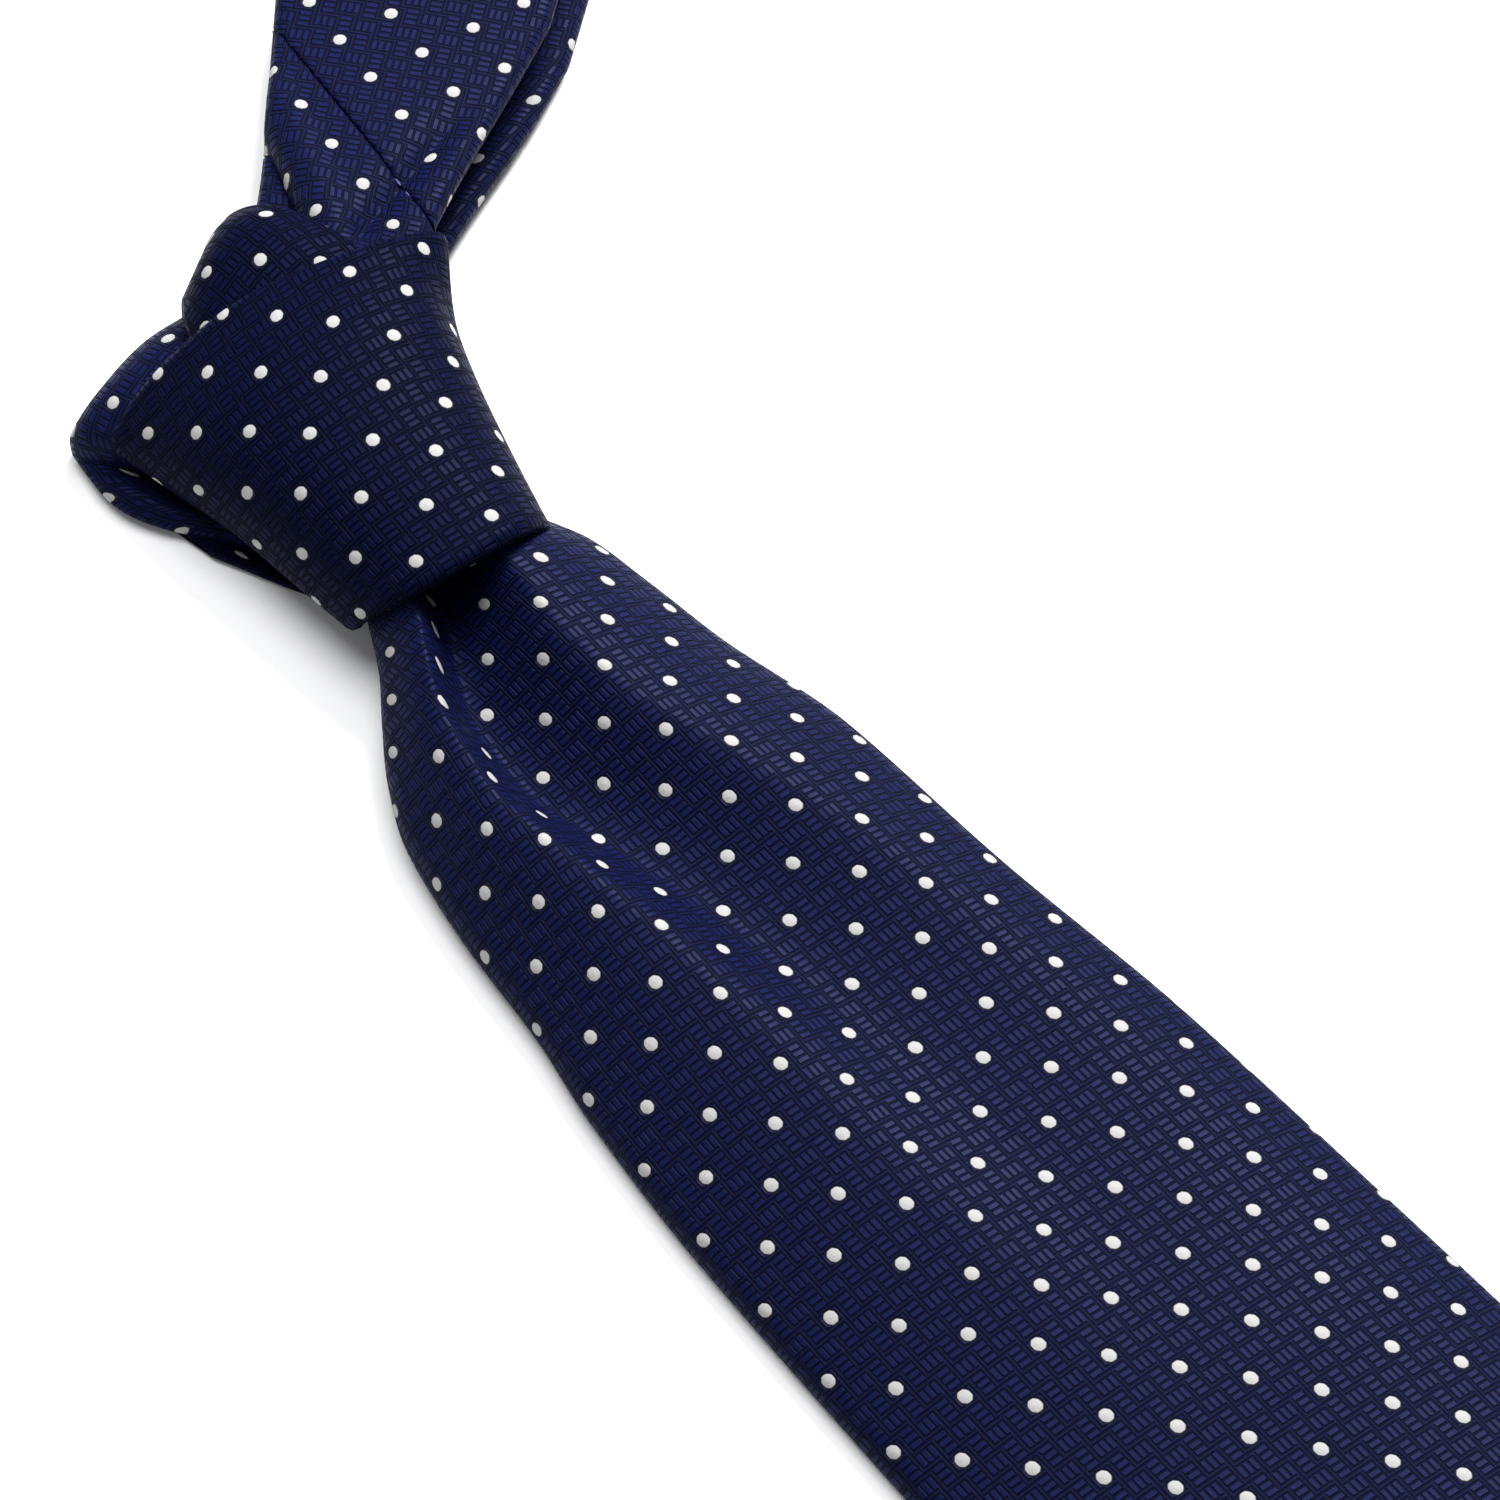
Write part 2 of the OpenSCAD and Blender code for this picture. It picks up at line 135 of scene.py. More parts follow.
def surface_of(rule, rows, columns):
    """A sheet from a rule that gives a point for a place down (0-1) and across (0-1)."""
    return np.array([[rule(i / rows, j / columns) for j in range(columns + 1)]
                     for i in range(rows + 1)], float)


def unit(vectors):
    return vectors / np.maximum(np.linalg.norm(vectors, axis=-1, keepdims=True), 1e-9)


def rounded_ends(rows, start, end, least=0.25):
    """Shares of the full thickness, row by row, that round off a strip's two ends."""
    shares = np.ones(rows + 1)
    for i in range(rows + 1):
        for count, place in ((start, i), (end, rows - i)):
            if place < count:
                shares[i] *= max(least, math.sqrt(1 - (1 - place / count) ** 2))
    return shares


# ---- Cloth strips ----

class Grain:
    """How the woven pattern lies on a strip: stretch across and along it, skew, and start."""

    def __init__(self, across=1.0, along=1.0, skew=0.0, start=(0.0, 0.0), turn=0.0):
        self.across, self.along, self.skew, self.start = across, along, skew, start
        self.turn = math.radians(turn)

    def lay(self, u, v):
        u, v = u - self.start[0], v - self.start[1]
        c, s = math.cos(self.turn), math.sin(self.turn)
        u, v = c * u - s * v, s * u + c * v
        return self.across * u, self.along * v + self.skew * u


EDGE_STEPS = 5


def tube_section(columns):
    """The way round a flattened tube: (column, outward share, upward share), from the seam
    in the middle of the back, round one edge, over the top, and back to the seam."""
    middle = columns // 2
    way = [(j, 0.0, -1.0) for j in range(middle, -1, -1)]
    way += [(0, -math.sin(a), -math.cos(a)) for a in
            [math.pi * k / EDGE_STEPS for k in range(1, EDGE_STEPS)]]
    way += [(j, 0.0, 1.0) for j in range(columns + 1)]
    way += [(columns, math.sin(a), math.cos(a)) for a in
            [math.pi * k / EDGE_STEPS for k in range(1, EDGE_STEPS)]]
    return way + [(j, 0.0, -1.0) for j in range(columns, middle - 1, -1)]


def padded_strip(name, surface, thickness, grain, lift=None, seam=0.0, middle=None,
                 even=False):
    """Makes a closed, flattened tube of cloth round a sheet.
    surface is rows x columns x 3 mm. lift is the direction of its thickness, or None for the
    sheet's own normal. seam is the depth of the groove down the middle of the back. middle
    gives the column, as a share, that the pattern is laid from, row by row. even lays the
    pattern from the middle row of each column, for a strip that flares."""
    rows, columns = surface.shape[0] - 1, surface.shape[1] - 1
    thick = np.broadcast_to(np.asarray(thickness, float), (rows + 1,))[:, None]
    downward, sideways = np.gradient(surface, axis=0), unit(np.gradient(surface, axis=1))
    if lift is None:
        normal = unit(np.cross(sideways, downward))
        if normal[rows // 4, columns // 2, 2] < 0:
            normal = -normal
    else:
        normal = np.broadcast_to(lift, surface.shape)
    way = tube_section(columns)
    count = len(way)
    points = np.zeros((rows + 1, count, 3))
    for k, (column, out, upward) in enumerate(way):
        points[:, k] = (surface[:, column] + normal[:, column] * thick * upward / 2
                        + sideways[:, column] * thick * out / 2)
    if seam:
        for k in (0, 1, count - 2, count - 1):
            deep = seam if k in (0, count - 1) else 0.3 * seam
            points[:, k] += normal[:, way[k][0]] * deep

    first_top = next(k for k, w in enumerate(way) if w[2] == 1.0)
    round_ways = np.linalg.norm(np.diff(points, axis=1), axis=2)
    u = np.concatenate([np.zeros((rows + 1, 1)), np.cumsum(round_ways, axis=1)], axis=1)
    shares = [0.5] * (rows + 1) if middle is None else middle
    at = [first_top + share * columns for share in shares]
    places = np.arange(count)
    u -= np.array([np.interp(at[i], places, u[i]) for i in range(rows + 1)])[:, None]
    steps = np.linalg.norm(np.diff(points, axis=0), axis=2)
    if even:
        v = np.concatenate([np.zeros((1, count)), np.cumsum(steps, axis=0)])
        v -= v[rows // 2]
    else:
        line = np.array([[np.interp(at[i], places, points[i, :, d]) for d in range(3)]
                         for i in range(rows + 1)])
        run = np.linalg.norm(np.diff(line, axis=0), axis=1)
        v = np.repeat(np.concatenate([[0.0], np.cumsum(run)])[:, None], count, axis=1)
    u, v = grain.lay(u, v)

    bm = bmesh.new()
    bmesh.ops.create_grid(bm, x_segments=count - 1, y_segments=rows, size=0.5)
    layer = bm.loops.layers.uv.new("cloth")
    where = {vert: (round((vert.co.y + 0.5) * rows), round((vert.co.x + 0.5) * (count - 1)))
             for vert in bm.verts}
    for face in bm.faces:
        for loop in face.loops:
            i, k = where[loop.vert]
            loop[layer].uv = (u[i, k] * MM, v[i, k] * MM)
    for vert, (i, k) in where.items():
        vert.co = points[i, k] * MM
    bmesh.ops.remove_doubles(bm, verts=bm.verts, dist=1e-7)
    bmesh.ops.holes_fill(bm, edges=[e for e in bm.edges if e.is_boundary], sides=0)
    bmesh.ops.recalc_face_normals(bm, faces=bm.faces)
    return finish_piece(name, bm)


def finish_piece(name, bm, shade=True):
    mesh = bpy.data.meshes.new(name)
    bm.to_mesh(mesh)
    bm.free()
    for polygon in mesh.polygons:
        polygon.use_smooth = shade
    piece = bpy.data.objects.new(name, mesh)
    bpy.context.scene.collection.objects.link(piece)
    return piece


def dress(piece, material):
    piece.data.materials.clear()
    piece.data.materials.append(material)
    return piece


# ---- Shader maths ----

class Value:
    """A shader number that can be used in Python expressions."""

    def __init__(self, maker, socket):
        self.maker, self.socket = maker, socket

    def _with(self, operation, *others):
        return self.maker.maths(operation, self, *others)

    def __add__(self, other): return self._with("ADD", other)
    def __radd__(self, other): return self._with("ADD", other)
    def __sub__(self, other): return self._with("SUBTRACT", other)
    def __rsub__(self, other): return self.maker.maths("SUBTRACT", other, self)
    def __mul__(self, other): return self._with("MULTIPLY", other)
    def __rmul__(self, other): return self._with("MULTIPLY", other)
    def __truediv__(self, other): return self._with("DIVIDE", other)
    def __abs__(self): return self._with("ABSOLUTE")
    def floor(self): return self._with("FLOOR")
    def fract(self): return self._with("FRACT")
    def least(self, other): return self._with("MINIMUM", other)
    def most(self, other): return self._with("MAXIMUM", other)
    def root(self): return self._with("SQRT")

    def band(self, low, high):
        """0 below low, 1 above high and smooth between, or the other way round."""
        ends = (low, high, 0.0, 1.0) if low < high else (high, low, 1.0, 0.0)
        node = self.maker.add("ShaderNodeMapRange", {"interpolation_type": "SMOOTHSTEP"},
                              {0: self, 1: ends[0], 2: ends[1], 3: ends[2], 4: ends[3]})
        return Value(self.maker, node.outputs[0])


class Maker:
    """Builds one material."""

    def __init__(self, name):
        self.material = bpy.data.materials.new(name)
        self.material.use_nodes = True
        self.tree = self.material.node_tree
        self.tree.nodes.clear()

    def add(self, kind, settings=None, inputs=None):
        node = self.tree.nodes.new(kind)
        for key, value in (settings or {}).items():
            setattr(node, key, value)
        for key, value in (inputs or {}).items():
            if isinstance(value, Value):
                value = value.socket
            if isinstance(value, bpy.types.NodeSocket):
                self.tree.links.new(value, node.inputs[key])
            else:
                node.inputs[key].default_value = value
        return node

    def maths(self, operation, *values):
        node = self.add("ShaderNodeMath", {"operation": operation}, dict(enumerate(values)))
        return Value(self, node.outputs[0])

    def mix(self, share, first, second):
        """A colour between two others."""
        node = self.add("ShaderNodeMix", {"data_type": "RGBA"},
                        {0: share, 6: first, 7: second})
        return node.outputs[2]

    def shade(self, share_of, colour):
        """A colour darkened by a value."""
        grey = self.add("ShaderNodeCombineColor", None, {0: share_of, 1: share_of, 2: share_of})
        node = self.add("ShaderNodeMix", {"data_type": "RGBA", "blend_type": "MULTIPLY"},
                        {0: 1.0, 6: colour, 7: grey.outputs[0]})
        return node.outputs[2]

    def noise(self, scale, detail=2.0, stretch=(1.0, 1.0, 1.0)):
        """Noise in the piece's own space, from 0 to 1."""
        place = self.add("ShaderNodeTexCoord").outputs["Object"]
        mapped = self.add("ShaderNodeMapping", None, {0: place, 3: stretch})
        node = self.add("ShaderNodeTexNoise", None,
                        {"Vector": mapped.outputs[0], "Scale": scale, "Detail": detail})
        return Value(self, node.outputs[0])

    def cloth_place(self):
        """Millimetres across and along the cloth."""
        uv = self.add("ShaderNodeUVMap", {"uv_map": "cloth"}).outputs[0]
        parts = self.add("ShaderNodeSeparateXYZ", None, {0: uv})
        return (Value(self, parts.outputs[0]) * 1000.0, Value(self, parts.outputs[1]) * 1000.0)

    def surface(self, **inputs):
        shader = self.add("ShaderNodeBsdfPrincipled", None,
                          {key.replace("_", " "): value for key, value in inputs.items()})
        out = self.add("ShaderNodeOutputMaterial")
        self.tree.links.new(shader.outputs[0], out.inputs[0])
        return self.material

    def bump(self, height, distance, strength=1.0):
        node = self.add("ShaderNodeBump", None,
                        {"Height": height, "Distance": distance, "Strength": strength})
        return node.outputs[0]


DOT_PITCH = 8.0
BLOCK = DOT_PITCH / math.sqrt(8)      # side of the square that one parquet block sits in


def stair(u, v, right, down):
    """One family of thread steps in the parquet weave. Gives the distance from the nearest
    thread, and the number of the flight that a point lies on."""
    x, y = (u + right) / BLOCK, (v + down) / BLOCK
    i, j = x.floor(), y.floor()
    odd = ((i + j) * 0.5).fract() * 2.0
    distance = abs(x - i - odd).least(abs(y - j - odd)) * BLOCK
    return distance, ((i + j) * 0.5).floor()


# Where the two families of thread steps start, across and along from a dot
FIRST_STAIR, SECOND_STAIR = (1.13, -1.14), (1.70, 1.14)
PAINTED_SHADE_LEVEL = 0.55       # painted shade: share of the silk's colour and specular kept on the knot's wraps


def silk_material(name, settings, painted_shade_level=1.0):
    """Parquet blocks of raised bars, framed by stepped threads, with a grid of woven dots."""
    m = Maker(name)
    u, v = m.cloth_place()
    p, q = (u - v) / (DOT_PITCH * math.sqrt(2)), (u + v) / (DOT_PITCH * math.sqrt(2))
    dp, dq = abs((p + 0.5).fract() - 0.5) * DOT_PITCH, abs((q + 0.5).fract() - 0.5) * DOT_PITCH
    flats = dp.most(dq).most((dp + dq) * 0.72)
    reach = (dp * dp + dq * dq).root() * 0.45 + flats * 0.55
    wobble = (m.noise(900.0, 1.0) - 0.5) * 0.10
    reach = reach + wobble
    half = settings.dot_size * 500.0
    dot = reach.band(half + 0.05, half - 0.07)
    moat = reach.band(half + 0.34, half + 0.12)

    first, flight_a = stair(u, v, *FIRST_STAIR)
    second, flight_b = stair(u, v, *SECOND_STAIR)
    nearest = first.least(second)
    thread = nearest.band(0.20, 0.10)
    groove_line = nearest.band(0.40, 0.28)
    wide = flight_b - flight_a
    bar_u = abs((u * 3.0 / BLOCK + 0.5).fract() - 0.5)
    bar_v = abs((v * 3.0 / BLOCK + 0.5).fract() - 0.5)
    off_bar = bar_v + (bar_u - bar_v) * wide
    bar = off_bar.band(0.42, 0.27)
    bar = bar * (1.0 - groove_line)
    relief = bar.most(thread * 0.8)

    yarn = m.noise(2600.0, 1.0)
    worn = m.noise(14.0, 3.0)
    tone = (yarn * 0.35 + worn * 0.3) + 0.68
    ground = m.mix(bar, tuple(settings.groove) + (1.0,), tuple(settings.rib) + (1.0,))
    ground = m.mix(thread * (1.0 - bar), ground, tuple(settings.outline) + (1.0,))
    # painted shade: a level below 1 darkens the ground colour of the knot's wraps.
    ground = m.shade(tone * painted_shade_level, ground)
    ground = m.mix(moat, ground, (0.004, 0.004, 0.010, 1.0))
    dot_colour = m.shade((yarn * 0.12) + 0.93, tuple(settings.dot) + (1.0,))
    colour = m.mix(dot, ground, dot_colour)

    dome = 1.0 - (reach / half).least(1.0)
    height = relief * (1.0 - moat) * 0.55 + dot * 0.35 + dome.root() * dot * 0.6 + yarn * 0.06
    rough = (1.0 - bar) * 0.2 + dot * 0.06 + 0.44
    # painted shade: the same level weakens the specular on the knot's wraps.
    return m.surface(Base_Color=colour, Roughness=rough, Specular_IOR_Level=0.035 * painted_shade_level,
                     Sheen_Weight=0.002, Sheen_Roughness=0.4,
                     Sheen_Tint=(0.25, 0.32, 0.7, 1.0),
                     Normal=m.bump(height, 0.00028, 0.9))


# The silk with its colour and specular darkened to a little over half, as painted shade on the
# knot's wraps.
def painted_shade_silk_material(name, settings):
    return silk_material(name, settings, PAINTED_SHADE_LEVEL)


def lining_material(name, settings):
    m = Maker(name)
    weave = m.noise(1800.0, 2.0, (1.0, 0.25, 1.0))
    fold = m.noise(35.0, 2.0)
    tone = weave * 0.3 + fold * 0.3 + 0.7
    colour = m.shade(tone, tuple(settings.lining) + (1.0,))
    return m.surface(Base_Color=colour, Roughness=weave * 0.2 + 0.28,
                     Specular_IOR_Level=0.25, Sheen_Weight=0.03,
                     Normal=m.bump(weave * 0.5 + fold, 0.0002))


def thread_material(name, settings):
    m = Maker(name)
    twist = m.noise(2200.0, 1.0, (1.0, 0.4, 1.0))
    colour = m.shade(twist * 0.5 + 0.75, tuple(settings.thread) + (1.0,))
    return m.surface(Base_Color=colour, Roughness=twist * 0.2 + 0.5, Sheen_Weight=0.2,
                     Normal=m.bump(twist, 0.0002))


# ---- Front blade ----

# Edges of the blade, as (distance below the rim, x)
BLADE_LEFT = [(-8, -11), (0, -15.2), (6, -19.5), (12, -23.5), (20, -27), (34, -29.5), (50, -31),
              (62, -33), (85, -35), (120, -36), (200, -37.5), (300, -39), (460, -42)]
BLADE_RIGHT = [(-8, 14), (-3, 16.5), (3, 19), (12, 21), (23, 23), (43, 27), (67, 28.2),
               (99, 31), (132, 32), (200, 33.5), (300, 35), (460, 38)]
BLADE_CROWN = [(-8, 6.5), (0, 7), (10, 7.6), (25, 8), (50, 7), (80, 6), (120, 5.3), (180, 5),
               (387, 4.9), (445, 0.25), (470, 0.2), (490, 0)]
BLADE_EDGE = [(-8, 8), (0, 8), (12, 6), (25, 4.2), (50, 3.5), (90, 2.7), (150, 2.5), (387, 2.5),
              (445, 2.1), (500, 2.1)]
DIMPLE_X = [(-8, -1), (0, -3.5), (5, -6), (14, -9.5), (25, -10.3), (35, -8.2), (53, -3.6), (80, 1),
            (110, 3)]
DIMPLE_DEPTH = [(-8, 8), (0, 8.4), (10, 8.8), (25, 7.8), (50, 5.6), (80, 3.4),
                (110, 1.6), (140, 0)]
DIMPLE_LEFT = [(0, 4.5), (10, 5), (25, 6.5), (50, 10), (80, 14), (140, 18)]
DIMPLE_RIGHT = [(0, 9), (10, 13), (25, 16), (50, 18), (80, 20), (140, 22)]
RIDGE_HEIGHT = [(-8, 0.5), (0, 1.2), (10, 2), (30, 2.2), (60, 1.3), (90, 0.6), (140, 0)]
BLADE_THICK = 3.8
BLADE_CORNER, POINT_LENGTH = 460.0, 40.0    # where the point begins, and its length
GATHER_START, GATHER_END = -8.0, 130.0
DIMPLE_END = 140.0
POINT_ROWS = 12


def blade_edges(d):
    left, right = along(BLADE_LEFT, d), along(BLADE_RIGHT, d)
    if d > BLADE_CORNER:
        close = (BLADE_LENGTH - d) / POINT_LENGTH
        left, right = BLADE_X + (left - BLADE_X) * close, BLADE_X + (right - BLADE_X) * close
    inset = min(BLADE_THICK / 2, (right - left) / 2 - 0.4)
    return left + inset, right - inset


def blade_point(d, share):
    left, right = blade_edges(d)
    x = left + (right - left) * share
    z = along(BLADE_EDGE, d) + along(BLADE_CROWN, d) * (1 - abs(2 * share - 1) ** 2.4)
    if d < DIMPLE_END:
        away = x - along(DIMPLE_X, d)
        wide = along(DIMPLE_LEFT if away < 0 else DIMPLE_RIGHT, d)
        t = min(1.0, abs(away) / wide)
        dip = 1 - t * t * (3 - 2 * t) if away < 0 else (1 - t) ** 1.5 * (1 + 1.5 * t)
        z -= along(DIMPLE_DEPTH, d) * dip
        ridge = (away + 1.25 * along(DIMPLE_LEFT, d)) / (0.9 * along(DIMPLE_LEFT, d))
        z += along(RIDGE_HEIGHT, d) * math.exp(-ridge * ridge)
    return x, RIM_Y - d, z


def blade_surface(rows, columns):
    """Rows are close together at the gathers, and far apart down the plain blade."""
    gathered = rows // 2
    plain = rows - gathered - POINT_ROWS
    gathers, body = GATHER_END - GATHER_START, BLADE_CORNER - GATHER_END
    places = [GATHER_START + gathers * i / gathered for i in range(gathered)]
    places += [GATHER_END + body * i / plain for i in range(plain)]
    places += [BLADE_CORNER + (POINT_LENGTH - 1) * (i / POINT_ROWS)
               for i in range(POINT_ROWS + 1)]
    sheet = np.array([[blade_point(d, j / columns) for j in range(columns + 1)]
                      for d in places], float)
    middles = [(BLADE_X - blade_edges(d)[0]) / (blade_edges(d)[1] - blade_edges(d)[0])
               for d in places]
    return sheet, middles


# ---- Settings ----

class NecktieCloth(bpy.types.PropertyGroup):
    rib: bpy.props.FloatVectorProperty(
        name="Rib", description="Colour of the raised ribs of the silk",
        subtype="COLOR", size=3, min=0, max=1, default=(0.0030, 0.0052, 0.036))
    groove: bpy.props.FloatVectorProperty(
        name="Groove", description="Colour between the ribs",
        subtype="COLOR", size=3, min=0, max=1, default=(0.0010, 0.0013, 0.006))
    outline: bpy.props.FloatVectorProperty(
        name="Outline thread", description="Colour of the threads that frame each block",
        subtype="COLOR", size=3, min=0, max=1, default=(0.0026, 0.0042, 0.025))
    dot: bpy.props.FloatVectorProperty(
        name="Dot", description="Colour of the woven dots",
        subtype="COLOR", size=3, min=0, max=1, default=(0.30, 0.30, 0.295))
    dot_size: bpy.props.FloatProperty(
        name="Dot size", description="Width of a woven dot",
        subtype="DISTANCE", unit="LENGTH", min=0.0005, max=0.004, default=0.00178)
    lining: bpy.props.FloatVectorProperty(
        name="Lining", description="Colour of the satin lining behind each point",
        subtype="COLOR", size=3, min=0, max=1, default=(0.008, 0.012, 0.06))
    thread: bpy.props.FloatVectorProperty(
        name="Thread", description="Colour of the sewing thread",
        subtype="COLOR", size=3, min=0, max=1, default=(0.02, 0.03, 0.14))


class NecktieStage(bpy.types.PropertyGroup):
    lens: bpy.props.FloatProperty(
        name="Lens", description="Focal length of the camera in millimetres",
        min=20, max=300, default=110.4)
    elevation: bpy.props.FloatProperty(
        name="Elevation", description="Height of the camera's view above the table",
        subtype="ANGLE", default=math.radians(60))
    azimuth: bpy.props.FloatProperty(
        name="Azimuth", description="Turn of the camera round the tie",
        subtype="ANGLE", default=math.radians(-41))
    distance: bpy.props.FloatProperty(
        name="Distance", description="From the camera to the table along its view",
        subtype="DISTANCE", unit="LENGTH", min=0.1, max=5, default=0.575)
    aim: bpy.props.FloatVectorProperty(
        name="Aim", description="Place on the table at the middle of the view",
        subtype="TRANSLATION", size=3, default=(0.0160, -0.0634, 0.0))


def material(name):
    """The material of that name, made when it is first asked for."""
    settings = bpy.context.scene.necktie_cloth
    makers = {"silk": ("dotted jacquard silk", silk_material),
              # The second silk below is the same silk darkened as painted shade.
              "silk in painted shade": ("dotted jacquard silk, darkened as painted shade",
                              painted_shade_silk_material),
              "lining": ("satin lining", lining_material),
              "thread": ("sewing thread", thread_material)}
    full_name, make = makers[name]
    return bpy.data.materials.get(full_name) or make(full_name, settings)


# ---- The pieces ----

def thread_piece(name, sew):
    """One object of sewing thread. sew is a function that adds its stitches to a bmesh."""
    bm = bmesh.new()
    sew(bm)
    return dress(finish_piece(name, bm), material("thread"))


def stitch(bm, place, length, width, height, yaw=0.0):
    """A short thread, rounded and lying down, with its middle at place in millimetres."""
    made = bmesh.ops.create_uvsphere(bm, u_segments=8, v_segments=6, radius=0.5)
    bmesh.ops.scale(bm, vec=(length * MM, width * MM, height * MM), verts=made["verts"])
    bmesh.ops.rotate(bm, verts=made["verts"], cent=(0, 0, 0),
                     matrix=Matrix.Rotation(yaw, 3, Vector((0, 0, 1))))
    bmesh.ops.translate(bm, verts=made["verts"], vec=Vector(place) * MM)


class NECKTIE_OT_front_blade(bpy.types.Operator):
    """Makes the front blade with its dimple, gathered where it leaves the knot"""
    bl_idname = "necktie.front_blade"
    bl_label = "Front blade"

    def execute(self, context):
        sheet, middles = blade_surface(300, 84)
        # One dot sits here; the cloth is cut a little off the true bias.
        grain = Grain(across=1.10, along=-0.996, skew=0.119, start=(-1.85, 118.6))
        blade = padded_strip("front_blade", sheet, BLADE_THICK, grain, lift=UP, seam=0.5,
                             middle=middles)
        dress(blade, material("silk"))
        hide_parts("front_blade_shell", "front_blade_interlining", "front_blade_throat")
        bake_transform(blade)
        return {"FINISHED"}


# The front band of the knot, as rows from its left end over the top to its right end.
# Each row runs from the lower rim to the upper edge.
FRONT_BAND = [
    [(-10.0, -18.8, 5.0), (-10.6, -8.6, 5.2), (-10.8, 1.5, 5.0),
     (-11.5, 11.0, 4.8), (-12.5, 18.5, 4.8)],
    [(-12.4, -20.8, 9.0), (-13.4, -9.8, 8.6), (-14.2, 0.5, 7.8),
     (-16.0, 11.2, 7.0), (-17.8, 20.2, 7.0)],
    [(-10.4, -23.8, 14.2), (-11.6, -12.8, 14.2), (-12.8, -2.0, 13.6),
     (-14.4, 9.0, 12.4), (-15.2, 20.9, 10.4)],
    [(-5.6, -26.7, 18.0), (-6.4, -15.4, 18.4), (-7.6, -3.2, 18.4),
     (-8.6, 8.4, 17.4), (-8.2, 20.8, 14.8)],
    [(1.0, -28.2, 19.2), (0.6, -16.4, 20.0), (0.6, -4.2, 20.6),
     (0.8, 7.8, 20.6), (2.4, 19.6, 19.0)],
    [(7.2, -28.4, 18.4), (8.4, -16.4, 19.2), (9.8, -4.6, 20.2),
     (11.2, 6.6, 21.0), (12.6, 17.0, 20.2)],
    [(11.4, -27.7, 15.0), (14.0, -16.2, 15.8), (16.8, -5.0, 17.0),
     (19.6, 5.6, 18.4), (22.4, 14.6, 19.2)],
    [(12.9, -26.8, 10.0), (16.2, -15.6, 10.6), (19.6, -4.6, 11.6),
     (23.4, 5.6, 13.6), (28.4, 13.6, 16.6)],
    [(12.2, -25.6, 4.2), (15.6, -14.6, 4.6), (19.2, -3.8, 5.4),
     (23.8, 5.2, 9.6), (30.0, 14.0, 13.8)],
]

# The last turn, from under the front band, over the neck loop and down behind.
TOP_WRAP = [
    [(-5.0, 16.0, 12.6), (0.5, 14.5, 15.4), (7.5, 13.0, 16.4),
     (14.0, 11.5, 16.2), (19.8, 10.0, 15.0)],
    [(-3.4, 21.6, 13.6), (1.0, 21.4, 16.6), (7.0, 20.4, 18.6),
     (13.2, 19.2, 19.4), (19.0, 17.6, 18.6)],
    [(-1.4, 26.0, 13.6), (2.0, 26.4, 16.4), (6.8, 27.0, 18.6),
     (12.2, 26.4, 19.6), (17.2, 24.8, 18.8)],
    [(0.5, 29.0, 12.5), (3.0, 29.4, 15.2), (6.4, 30.4, 17.0),
     (10.8, 31.0, 18.2), (15.0, 30.2, 18.0)],
    [(1.2, 30.8, 9.6), (3.2, 31.2, 11.6), (5.6, 32.0, 13.4),
     (8.4, 33.0, 15.0), (11.6, 33.4, 15.9)],
    [(1.4, 31.6, 6.0), (3.0, 32.0, 7.4), (4.8, 32.6, 8.8), (6.4, 33.2, 10.0), (8.0, 33.6, 11.2)],
    [(1.4, 31.8, 3.0), (2.8, 32.2, 3.4), (4.2, 32.6, 3.8), (5.6, 33.0, 4.4), (7.0, 33.2, 5.0)],
]

# The fold at the left: from behind the knot, round the corner and along the lower lip.
# Each row runs from the table up over the fold and in under the front band.
SIDE_FOLD = [
    [(3.0, 31.0, 2.0), (2.0, 30.6, 6.0), (1.0, 28.6, 9.6), (0.5, 25.0, 11.6), (1.5, 20.0, 11.6)],
    [(-5.0, 31.4, 1.8), (-6.2, 31.2, 5.4), (-6.6, 29.0, 9.2),
     (-6.2, 25.0, 11.2), (-5.0, 19.0, 10.8)],
    [(-13.6, 29.4, 1.7), (-14.9, 29.2, 5.0), (-14.6, 27.2, 8.6),
     (-12.8, 23.4, 10.2), (-10.4, 17.2, 9.2)],
    [(-19.0, 28.0, 1.6), (-19.9, 27.8, 3.8), (-19.2, 25.8, 7.0),
     (-16.8, 22.0, 8.4), (-13.4, 16.4, 8.0)],
    [(-20.2, 26.8, 1.5), (-21.2, 26.6, 2.8), (-20.6, 24.6, 5.4),
     (-17.6, 20.2, 7.0), (-13.2, 14.8, 7.0)],
    [(-20.6, 24.6, 1.4), (-21.6, 24.6, 2.2), (-20.6, 22.6, 3.0),
     (-17.4, 18.6, 2.4), (-13.4, 13.6, 1.8)],
    [(-21.2, 16.8, 1.4), (-22.0, 17.0, 2.1), (-20.4, 16.8, 3.3),
     (-17.4, 15.4, 2.6), (-13.6, 12.2, 1.8)],
    [(-19.0, 10.4, 1.4), (-19.6, 10.6, 2.1), (-18.2, 10.8, 3.1),
     (-15.8, 10.0, 2.5), (-13.0, 8.6, 1.7)],
    [(-13.8, 3.0, 1.4), (-14.4, 3.2, 2.0), (-13.2, 3.8, 2.9),
     (-11.8, 3.8, 2.4), (-10.2, 3.6, 1.7)],
    [(-10.4, -2.6, 1.4), (-11.0, -2.4, 1.9), (-10.3, -1.8, 2.7),
     (-10.0, -1.6, 2.2), (-9.6, -1.4, 1.7)],
    [(-10.0, -8.0, 1.4), (-10.4, -8.0, 1.9), (-10.1, -7.8, 2.5),
     (-9.9, -7.6, 2.1), (-9.6, -7.4, 1.7)],
]

